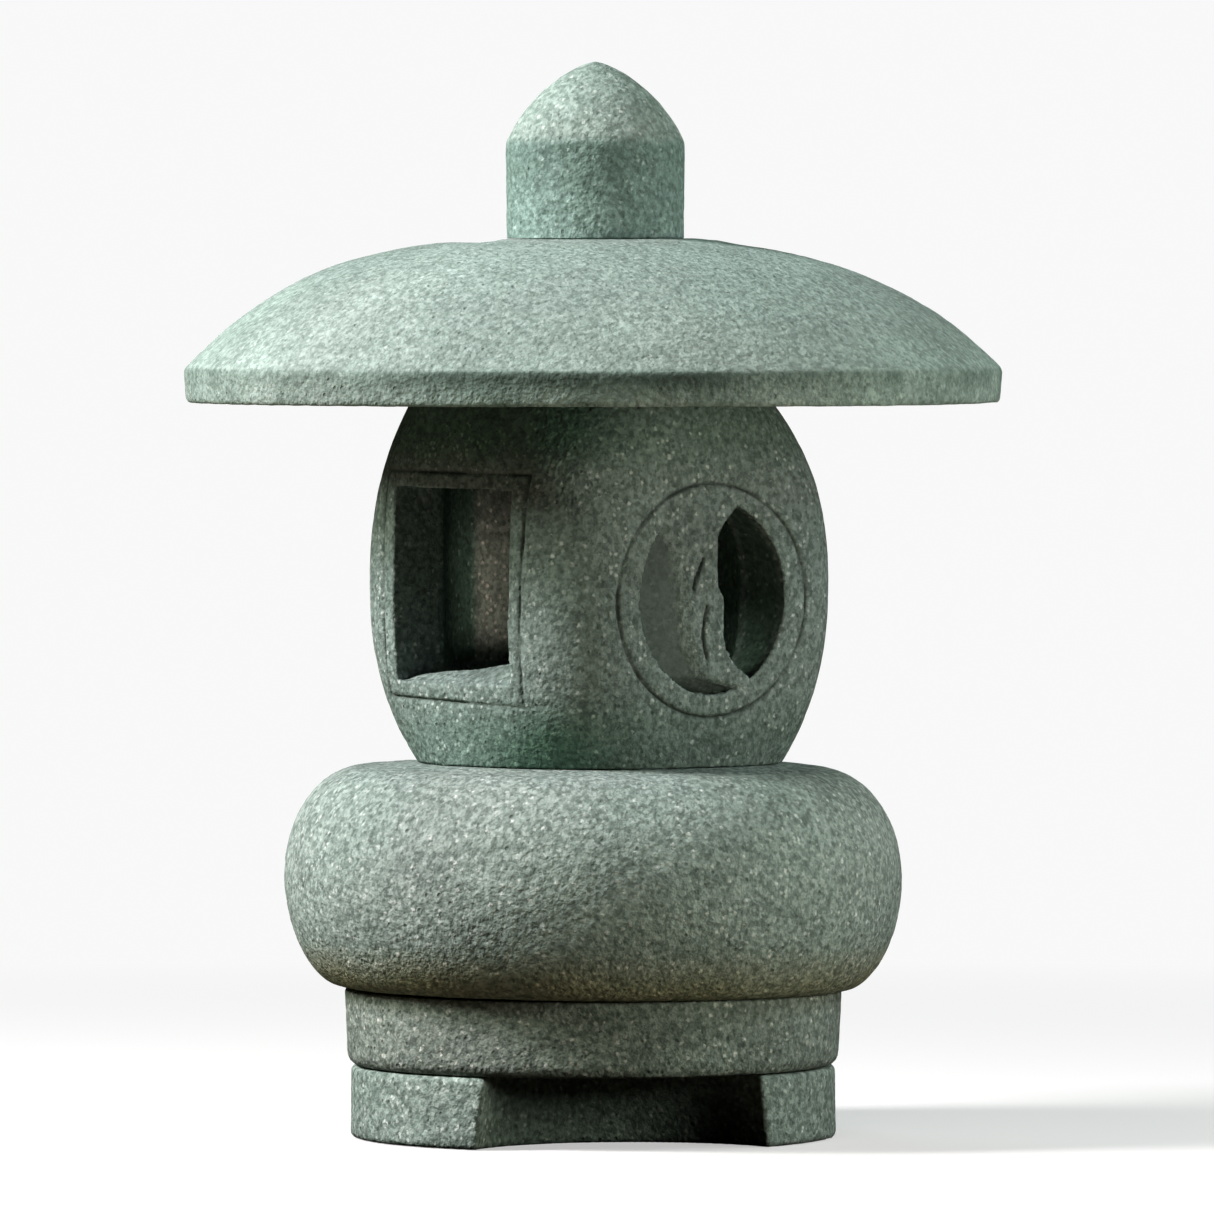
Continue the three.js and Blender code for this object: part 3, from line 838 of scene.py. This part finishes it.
def make_wick():
    low, high = low_z("tea_light_wick"), high_z("tea_light_wick")
    rows, around = 60, 16
    points, faces = [], []
    for i in range(rows):
        share = i / (rows - 1)
        z = low + (high - low) * share
        for k in range(around):
            turn = 2 * math.pi * k / around
            braid = 0.62 + 0.09 * math.cos(3 * turn + 26 * share)
            taper = braid * (1 - 0.35 * max(0, share - 0.9) / 0.1)
            points.append((taper * math.cos(turn), taper * math.sin(turn), z))
    for i in range(rows - 1):
        for k in range(around):
            a, b = i * around + k, i * around + (k + 1) % around
            faces.append([a, b, b + around, a + around])
    faces.append(list(range(around))[::-1])
    faces.append([(rows - 1) * around + k for k in range(around)])
    return mesh_object("tea_light_wick_braided", points, faces)


def make_clip():
    low, high = low_z("tea_light_clip"), high_z("tea_light_clip")
    radius = radius_of("tea_light_clip")
    outline = resampled(filleted([
        (0, low, 0),
        (radius - 0.1, low, 0.1),
        (radius - 0.1, low + 0.35, 0.1),
        (2.9, low + 0.4, 0.5),
        (1.9, low + 0.9, 0.4),
        (1.75, high, 0.1),
        (1.2, high, 0.1),
        (1.2, low + 0.6, 0),
        (0, low + 0.6, 0),
    ]), 0.5)
    points, _, faces = turned(outline, 96)
    return mesh_object("tea_light_clip_pressed", points, faces)


# Materials

class Nodes:
    """A short way to write a material's nodes."""

    def __init__(self, name):
        self.material = bpy.data.materials.new(name)
        self.material.use_nodes = True
        self.tree = self.material.node_tree
        self.shader = self.tree.nodes["Principled BSDF"]

    def add(self, kind, values=(), **settings):
        """A node with its settings. Each input, by name or number, is linked or gets a fixed value."""
        node = self.tree.nodes.new(kind)
        for key, value in settings.items():
            setattr(node, key, value)
        for socket, value in dict(values).items():
            if isinstance(value, bpy.types.NodeSocket):
                self.tree.links.new(value, node.inputs[socket])
            else:
                node.inputs[socket].default_value = value
        return node

    def math(self, operation, *values):
        return self.add("ShaderNodeMath", dict(enumerate(values)), operation=operation).outputs[0]

    def attribute(self, name):
        return self.add("ShaderNodeAttribute", attribute_name=name).outputs["Fac"]

    def noise(self, where, scale, detail=2.0, roughness=0.5):
        values = {"Vector": where, "Scale": scale, "Detail": detail, "Roughness": roughness}
        return self.add("ShaderNodeTexNoise", values).outputs["Fac"]

    def span(self, value, low, high, to_low=0.0, to_high=1.0):
        """A number brought from between low and high to between two others, and kept there."""
        values = {"Value": value, 1: low, 2: high, 3: to_low, 4: to_high}
        return self.add("ShaderNodeMapRange", values, clamp=True).outputs[0]

    def mix(self, share, a, b, kind="MIX"):
        """Colour a turned by a share into colour b."""
        values = {0: share, 6: a, 7: b}
        return self.add("ShaderNodeMix", values, data_type="RGBA", blend_type=kind).outputs[2]

    def times(self, a, b):
        """A colour multiplied by another."""
        return self.mix(1.0, a, b, "MULTIPLY")

    def bump(self, height, strength, distance):
        values = {"Strength": strength, "Distance": distance, "Height": height}
        self.link(self.add("ShaderNodeBump", values).outputs[0], "Normal")

    def link(self, output, socket):
        self.tree.links.new(output, self.shader.inputs[socket])


STONE_DARK = (0.10, 0.135, 0.119, 1)
STONE_MID = (0.205, 0.262, 0.237, 1)
STONE_LIGHT = (0.34, 0.415, 0.385, 1)
STONE_MEAN = (0.215, 0.272, 0.245, 1)
STONE_FLECK = (0.66, 0.72, 0.69, 1)
CUT_SHADE = (0.045, 0.06, 0.048, 1)
WHITE = (1, 1, 1, 1)
COOL_PATCH, WARM_PATCH = (0.985, 1.0, 0.98, 1), (1.03, 1.0, 0.99, 1)
# Colours for the stored attributes: painted warm bounce, soil with painted shade, painted light and
# painted green shade
PAINTED_LIGHT_AND_SOIL = {
    "painted_warm_bounce": (1.12, 0.93, 0.68, 1),
    "soil_and_painted_shade": (0.86, 1.0, 0.92, 1),
    "painted_light": (1.76, 1.42, 1.41, 1),
    "painted_green_shade": (0.41, 0.58, 0.47, 1),
}
SOIL_AND_SHADE_LEVEL, SMOOTH_LEVEL = 0.3, 0.74
GRAIN_SCALE, FLECK_SCALE, PIT_SCALE = 520, 410, 310
FINE_SCALE, COARSE_SCALE, CLOUDING_SCALE, WARMTH_SCALE = 900, 330, 24, 9
GRAIN_SHARE, FINE_SHARE, COARSE_SHARE = 0.26, 0.36, 0.78
MEAN_TONE = 0.7
GRAIN_WANDER = 0.0016
RELIEF, RELIEF_DEPTH = 0.65, 0.001


def grain_body(n, where, bent, fine, rough):
    """Colour of the grains, from dark to light. Smooth places stay near the mean tone."""
    grains = n.add("ShaderNodeTexVoronoi", {"Vector": bent, "Scale": GRAIN_SCALE})
    grain_tone = n.add("ShaderNodeSeparateColor", {0: grains.outputs["Color"]}).outputs[0]
    coarse = n.noise(where, COARSE_SCALE, 3, 0.55)
    tone = n.math("MULTIPLY", grain_tone, GRAIN_SHARE)
    tone = n.math("ADD", tone, n.math("MULTIPLY", fine, FINE_SHARE))
    tone = n.math("ADD", tone, n.math("MULTIPLY", coarse, COARSE_SHARE))
    tone = n.math("MULTIPLY_ADD", n.math("SUBTRACT", tone, MEAN_TONE), rough, MEAN_TONE)
    body = n.mix(n.span(tone, 0.46, 0.72), STONE_DARK, STONE_MID)
    return n.mix(n.span(tone, 0.68, 0.95), body, STONE_LIGHT)


def pale_flecks(n, bent, rough):
    """Where single pale grains show."""
    flecks = n.add("ShaderNodeTexVoronoi", {"Vector": bent, "Scale": FLECK_SCALE})
    pick = n.add("ShaderNodeSeparateColor", {0: flecks.outputs["Color"]}).outputs[1]
    near = n.span(flecks.outputs["Distance"], 0.5, 0.15)
    return n.math("MULTIPLY", n.math("MULTIPLY", n.span(pick, 0.72, 0.98), near), rough)


def open_pits(n, where, rough):
    """Where small pits are open."""
    pits = n.add("ShaderNodeTexVoronoi", {"Vector": where, "Scale": PIT_SCALE})
    pick = n.add("ShaderNodeSeparateColor", {0: pits.outputs["Color"]}).outputs[2]
    near = n.span(pits.outputs["Distance"], 0.34, 0.14)
    return n.math("MULTIPLY", n.math("MULTIPLY", n.span(pick, 0.84, 0.9), near), rough)


def weathered_and_painted_light(n, body, where, smooth):
    """The body colour with its clouding, and with the soil, painted shade and painted light that each
    stone's stored attributes add.
    """
    clouding = n.span(n.noise(where, CLOUDING_SCALE, 3, 0.55), 0.3, 0.7, 0.88, 1.12)
    level = n.math("MULTIPLY", clouding, n.span(smooth, 0, 1, 1, SMOOTH_LEVEL))
    level = n.math("MULTIPLY", level, n.span(n.attribute("soil_and_painted_shade"), 0, 1, 1, SOIL_AND_SHADE_LEVEL))
    grey = n.add("ShaderNodeCombineColor", {0: level, 1: level, 2: level}).outputs[0]
    warm = n.mix(n.span(n.noise(where, WARMTH_SCALE, 2), 0.35, 0.65), COOL_PATCH, WARM_PATCH)
    body = n.times(n.times(body, warm), grey)
    for attribute, colour in PAINTED_LIGHT_AND_SOIL.items():
        body = n.times(body, n.mix(n.attribute(attribute), WHITE, colour))
    return body


def stone_material(name, tone_and_light, contrast, fleck_share, shift):
    """Green-grey granular stone: pale and dark grains, open pits and punched relief."""
    n = Nodes(name)
    coords = n.add("ShaderNodeTexCoord").outputs["Object"]
    shifted = {0: coords, 1: (shift, shift * 0.7, shift * 0.4)}
    where = n.add("ShaderNodeVectorMath", shifted, operation="ADD").outputs[0]
    wander = n.add("ShaderNodeTexNoise", {"Vector": where, "Scale": FINE_SCALE, "Detail": 1.0})
    by_little = {0: wander.outputs["Color"], 1: (GRAIN_WANDER, GRAIN_WANDER, GRAIN_WANDER)}
    wander = n.add("ShaderNodeVectorMath", by_little, operation="MULTIPLY").outputs[0]
    bent = n.add("ShaderNodeVectorMath", {0: where, 1: wander}, operation="ADD").outputs[0]
    smooth = n.attribute("smooth_carving")
    rough = n.span(smooth, 0, 1, 1, 0.3)
    fine = n.noise(where, FINE_SCALE, 2, 0.55)
    fleck = pale_flecks(n, bent, rough)
    pit = open_pits(n, where, rough)

    body = grain_body(n, where, bent, fine, rough)
    body = n.mix(n.math("MULTIPLY", fleck, 0.9 * fleck_share), body, STONE_FLECK)
    body = n.mix(n.math("MULTIPLY", pit, 0.7), body, STONE_DARK)
    # Painted shade: the cut lines are painted dark, as shade in their grooves.
    body = n.mix(n.math("MULTIPLY", n.attribute("cut_line"), 0.8), body, CUT_SHADE)
    body = weathered_and_painted_light(n, n.mix(contrast, STONE_MEAN, body), where, smooth)
    n.link(n.times(body, (*tone_and_light, 1)), "Base Color")
    n.link(n.span(fine, 0.3, 0.7, 0.8, 0.95), "Roughness")
    n.shader.inputs["Specular IOR Level"].default_value = 0.35

    height = n.math("ADD", n.noise(where, 520, 2, 0.5), n.noise(where, 260, 2, 0.5))
    height = n.math("SUBTRACT", height, n.math("MULTIPLY", pit, 0.8))
    height = n.math("MULTIPLY", n.math("ADD", height, n.math("MULTIPLY", fleck, 0.25)), rough)
    n.bump(height, RELIEF, RELIEF_DEPTH)
    return n.material


def foil_material():
    n = Nodes("pressed_aluminium")
    where = n.add("ShaderNodeTexCoord").outputs["Object"]
    n.link(n.mix(n.noise(where, 300), (0.78, 0.79, 0.8, 1), (0.88, 0.89, 0.9, 1)), "Base Color")
    n.link(n.span(n.noise(where, 900, 3), 0.3, 0.7, 0.24, 0.42), "Roughness")
    n.shader.inputs["Metallic"].default_value = 1.0
    n.bump(n.noise(where, 500, 2), 0.25, 0.0003)
    return n.material


def tin_material():
    n = Nodes("tinned_steel")
    where = n.add("ShaderNodeTexCoord").outputs["Object"]
    n.link(n.mix(n.noise(where, 500), (0.6, 0.61, 0.62, 1), (0.74, 0.75, 0.76, 1)), "Base Color")
    n.link(n.span(n.noise(where, 1200, 3), 0.3, 0.7, 0.3, 0.5), "Roughness")
    n.shader.inputs["Metallic"].default_value = 1.0
    return n.material


def wax_material():
    n = Nodes("candle_wax")
    where = n.add("ShaderNodeTexCoord").outputs["Object"]
    cloudy = n.span(n.noise(where, 120, 4), 0.3, 0.7)
    n.link(n.mix(cloudy, (0.86, 0.81, 0.7, 1), (0.93, 0.9, 0.82, 1)), "Base Color")
    n.link(n.span(n.noise(where, 400, 3), 0.3, 0.7, 0.38, 0.55), "Roughness")
    n.shader.inputs["Subsurface Weight"].default_value = 0.15
    n.shader.inputs["Subsurface Radius"].default_value = (0.003, 0.002, 0.0012)
    n.bump(n.noise(where, 260, 3), 0.3, 0.0004)
    return n.material


def wick_material():
    n = Nodes("waxed_cotton")
    where = n.add("ShaderNodeTexCoord").outputs["Object"]
    waves = {"Vector": where, "Scale": 420, "Distortion": 2.0}
    strands = n.add("ShaderNodeTexWave", waves).outputs["Fac"]
    n.link(n.mix(strands, (0.62, 0.58, 0.48, 1), (0.86, 0.83, 0.74, 1)), "Base Color")
    n.link(n.span(strands, 0, 1, 0.7, 0.9), "Roughness")
    n.bump(strands, 0.5, 0.0002)
    return n.material


# The pieces

def fit(piece, node, body, material):
    """Puts a finished piece in its CAD node's place."""
    piece.data.materials.append(material)
    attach(piece, body)
    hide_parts(node)


# Each stone's body, maker, slot, tint, contrast of its grains and share of pale flecks
# Each tint is partly the stone's own tone and partly painted light: the roof and platform, lit from
# above, are painted lighter and the chamber under the roof darker.
STONES = {
    "foot_stone": ("root", make_foot, "foot_stone", (1.12, 1.13, 1.13), 1.0, 1.0),
    "plinth_ring": ("plinth", make_plinth, "plinth_stone", (0.96, 0.935, 0.915), 1.0, 1.0),
    "platform": ("platform", make_platform, "platform_stone", (1.2, 1.19, 1.22), 0.92, 0.8),
    "light_chamber": ("chamber", make_chamber, "chamber_stone", (0.86, 0.87, 0.89), 0.9, 1.15),
    "roof": ("roof", make_roof, "roof_stone", (1.25, 1.26, 1.28), 0.65, 0.42),
    "finial": ("finial", make_finial, "finial_stone", (0.91, 1.04, 1.04), 0.75, 0.85),
}
# Each stone takes its grain from another place in the same pattern
FIRST_SHIFT, NEXT_SHIFT = 0.31, 0.26
for count, (node, (body, make, slot, tone_and_light, contrast, flecks)) in enumerate(STONES.items()):
    shift = FIRST_SHIFT + NEXT_SHIFT * count
    look = stone_material(slot + "_look", tone_and_light, contrast, flecks, shift)
    fit(make(), node, body, look)
fit(make_cup(), "tea_light_cup", "tea_light", foil_material())
fit(make_clip(), "tea_light_clip", "tea_light", tin_material())
fit(make_wick(), "tea_light_wick", "tea_light", wick_material())
fit(make_wax(), "tea_light_wax", "tea_light", wax_material())


# Studio: camera, floor, background and lights

VIEW_DISTANCE = 5.4
CAMERA_HEIGHT = 0.378
FRAME_WIDTH = 0.5075
SENSOR_WIDTH = 36
AIM_RIGHT, AIM_HEIGHT = 0.0058, 0.2215
LAMP_CENTRE, LAMP_TARGET = 0.2, 0.22
AMBIENT = 0.0
BACKDROP = 0.95
CONTRAST = 0.85
FLOOR_RINGS = (0.3, 0.8, 2, 5, 12, 30)
FLOOR_NEAR = (0.42, 0.42, 0.42, 1)
FLOOR_BOUNCE = (0.2, 0.17, 0.13, 1)
BLACK = (0, 0, 0, 1)


def direction(azimuth, elevation):
    """Unit vector towards an azimuth in degrees to the right of the camera, and an elevation."""
    turn = FRONT + math.radians(azimuth)
    rise = math.radians(elevation)
    level = math.cos(rise)
    return np.array([math.sin(turn) * level, -math.cos(turn) * level, math.sin(rise)])


def look_at(thing, place, target):
    """Puts a camera or lamp at a place, turned towards the target."""
    thing.location = place
    away = Vector(place) - Vector(target)
    thing.rotation_euler = away.to_track_quat("Z", "Y").to_euler()


def make_camera():
    camera = bpy.data.objects.new("camera", bpy.data.cameras.new("camera"))
    bpy.context.scene.collection.objects.link(camera)
    camera.data.sensor_width = SENSOR_WIDTH
    camera.data.lens = SENSOR_WIDTH * VIEW_DISTANCE / FRAME_WIDTH
    camera.data.clip_end = 2 * FLOOR_RINGS[-1]
    place = direction(0, 0) * VIEW_DISTANCE + (0, 0, CAMERA_HEIGHT)
    look_at(camera, place, direction(90, 0) * AIM_RIGHT + (0, 0, AIM_HEIGHT))
    bpy.context.scene.camera = camera


def make_light(name, azimuth, elevation, distance, size, power, color):
    lamp = bpy.data.lights.new(name, "AREA")
    lamp.shape = "RECTANGLE"
    lamp.size, lamp.size_y = size
    lamp.energy = power
    lamp.color = color
    thing = bpy.data.objects.new(name, lamp)
    bpy.context.scene.collection.objects.link(thing)
    place = direction(azimuth, elevation) * distance + (0, 0, LAMP_CENTRE)
    look_at(thing, place, (0, 0, LAMP_TARGET))


def seen_by_camera(tree):
    """1 where the camera sees a surface itself, 0 where it only lights other surfaces."""
    return tree.nodes.new("ShaderNodeLightPath").outputs["Is Camera Ray"]


def floor_material():
    """Pale to the camera and darker to the lantern, fading into the backdrop."""
    n = Nodes("pale_floor")
    seen = seen_by_camera(n.tree)
    place = {0: n.add("ShaderNodeTexCoord").outputs["Object"]}
    reach = n.add("ShaderNodeVectorMath", place, operation="LENGTH").outputs["Value"]
    fade = n.span(reach, 0.25, 1.3)
    near = n.mix(fade, FLOOR_NEAR, BLACK)
    bounce = n.mix(n.span(reach, 0.13, 0.3), BLACK, FLOOR_BOUNCE)
    n.link(n.mix(seen, bounce, near), "Base Color")
    n.shader.inputs["Roughness"].default_value = 0.9
    n.shader.inputs["Specular IOR Level"].default_value = 0.0
    n.shader.inputs["Emission Color"].default_value = WHITE
    n.link(n.math("MULTIPLY", seen, n.span(fade, 0, 1, 0.5, BACKDROP)), "Emission Strength")
    return n.material


def make_floor():
    """A round floor."""
    around = 96
    points = [(0, 0, 0)]
    faces = []
    for radius in FLOOR_RINGS:
        for k in range(around):
            turn = 2 * math.pi * k / around
            points.append((radius * math.cos(turn) / MM, radius * math.sin(turn) / MM, 0))
    for k in range(around):
        following = (k + 1) % around
        faces.append([0, 1 + k, 1 + following])
        for ring in range(len(FLOOR_RINGS) - 1):
            a = 1 + ring * around
            b = a + around
            faces.append([a + k, b + k, b + following, a + following])
    floor = mesh_object("studio_floor", points, faces)
    floor.data.materials.append(floor_material())


def make_world():
    """A pale backdrop for the camera, which gives the lantern no light."""
    world = bpy.data.worlds.new("studio")
    bpy.context.scene.world = world
    world.use_nodes = True
    tree = world.node_tree
    background = tree.nodes["Background"]
    background.inputs["Color"].default_value = WHITE
    mix = tree.nodes.new("ShaderNodeMapRange")
    tree.links.new(seen_by_camera(tree), mix.inputs[0])
    mix.inputs[3].default_value = AMBIENT
    mix.inputs[4].default_value = BACKDROP
    tree.links.new(mix.outputs[0], background.inputs["Strength"])


# Each lamp's azimuth, elevation, distance and size, its watts and its colour
LIGHTS = {
    "key_left": (-75, 40, 1.8, (0.42, 0.42), 39.5, (1.0, 0.91, 1.0)),
    "low_left": (-75, 28, 1.8, (0.42, 0.42), 25, (0.98, 1.0, 0.86)),
    "top_back": (180, 60, 1.8, (0.42, 0.42), 4, (0.6, 1.0, 0.9)),
    "top_right": (105, 55, 1.8, (0.42, 0.42), 2, (1.0, 1.0, 0.6)),
    "top_front": (25, 62, 1.8, (0.42, 0.42), 3.6, (1.0, 0.94, 0.94)),
    "high_right": (90, 35, 1.8, (0.42, 0.42), 8.8, (0.88, 0.98, 1.0)),
    "window_right": (52, 4, 0.95, (0.24, 0.24), 3.9, (1.0, 0.97, 0.83)),
    "side_right": (80, 18, 0.95, (0.24, 0.24), 0.8, (0.78, 0.7, 1.0)),
}

make_camera()
make_floor()
make_world()
for light_name, settings in LIGHTS.items():
    make_light(light_name, *settings)
bpy.context.scene.view_settings.view_transform = "Standard"
bpy.context.scene.view_settings.gamma = CONTRAST
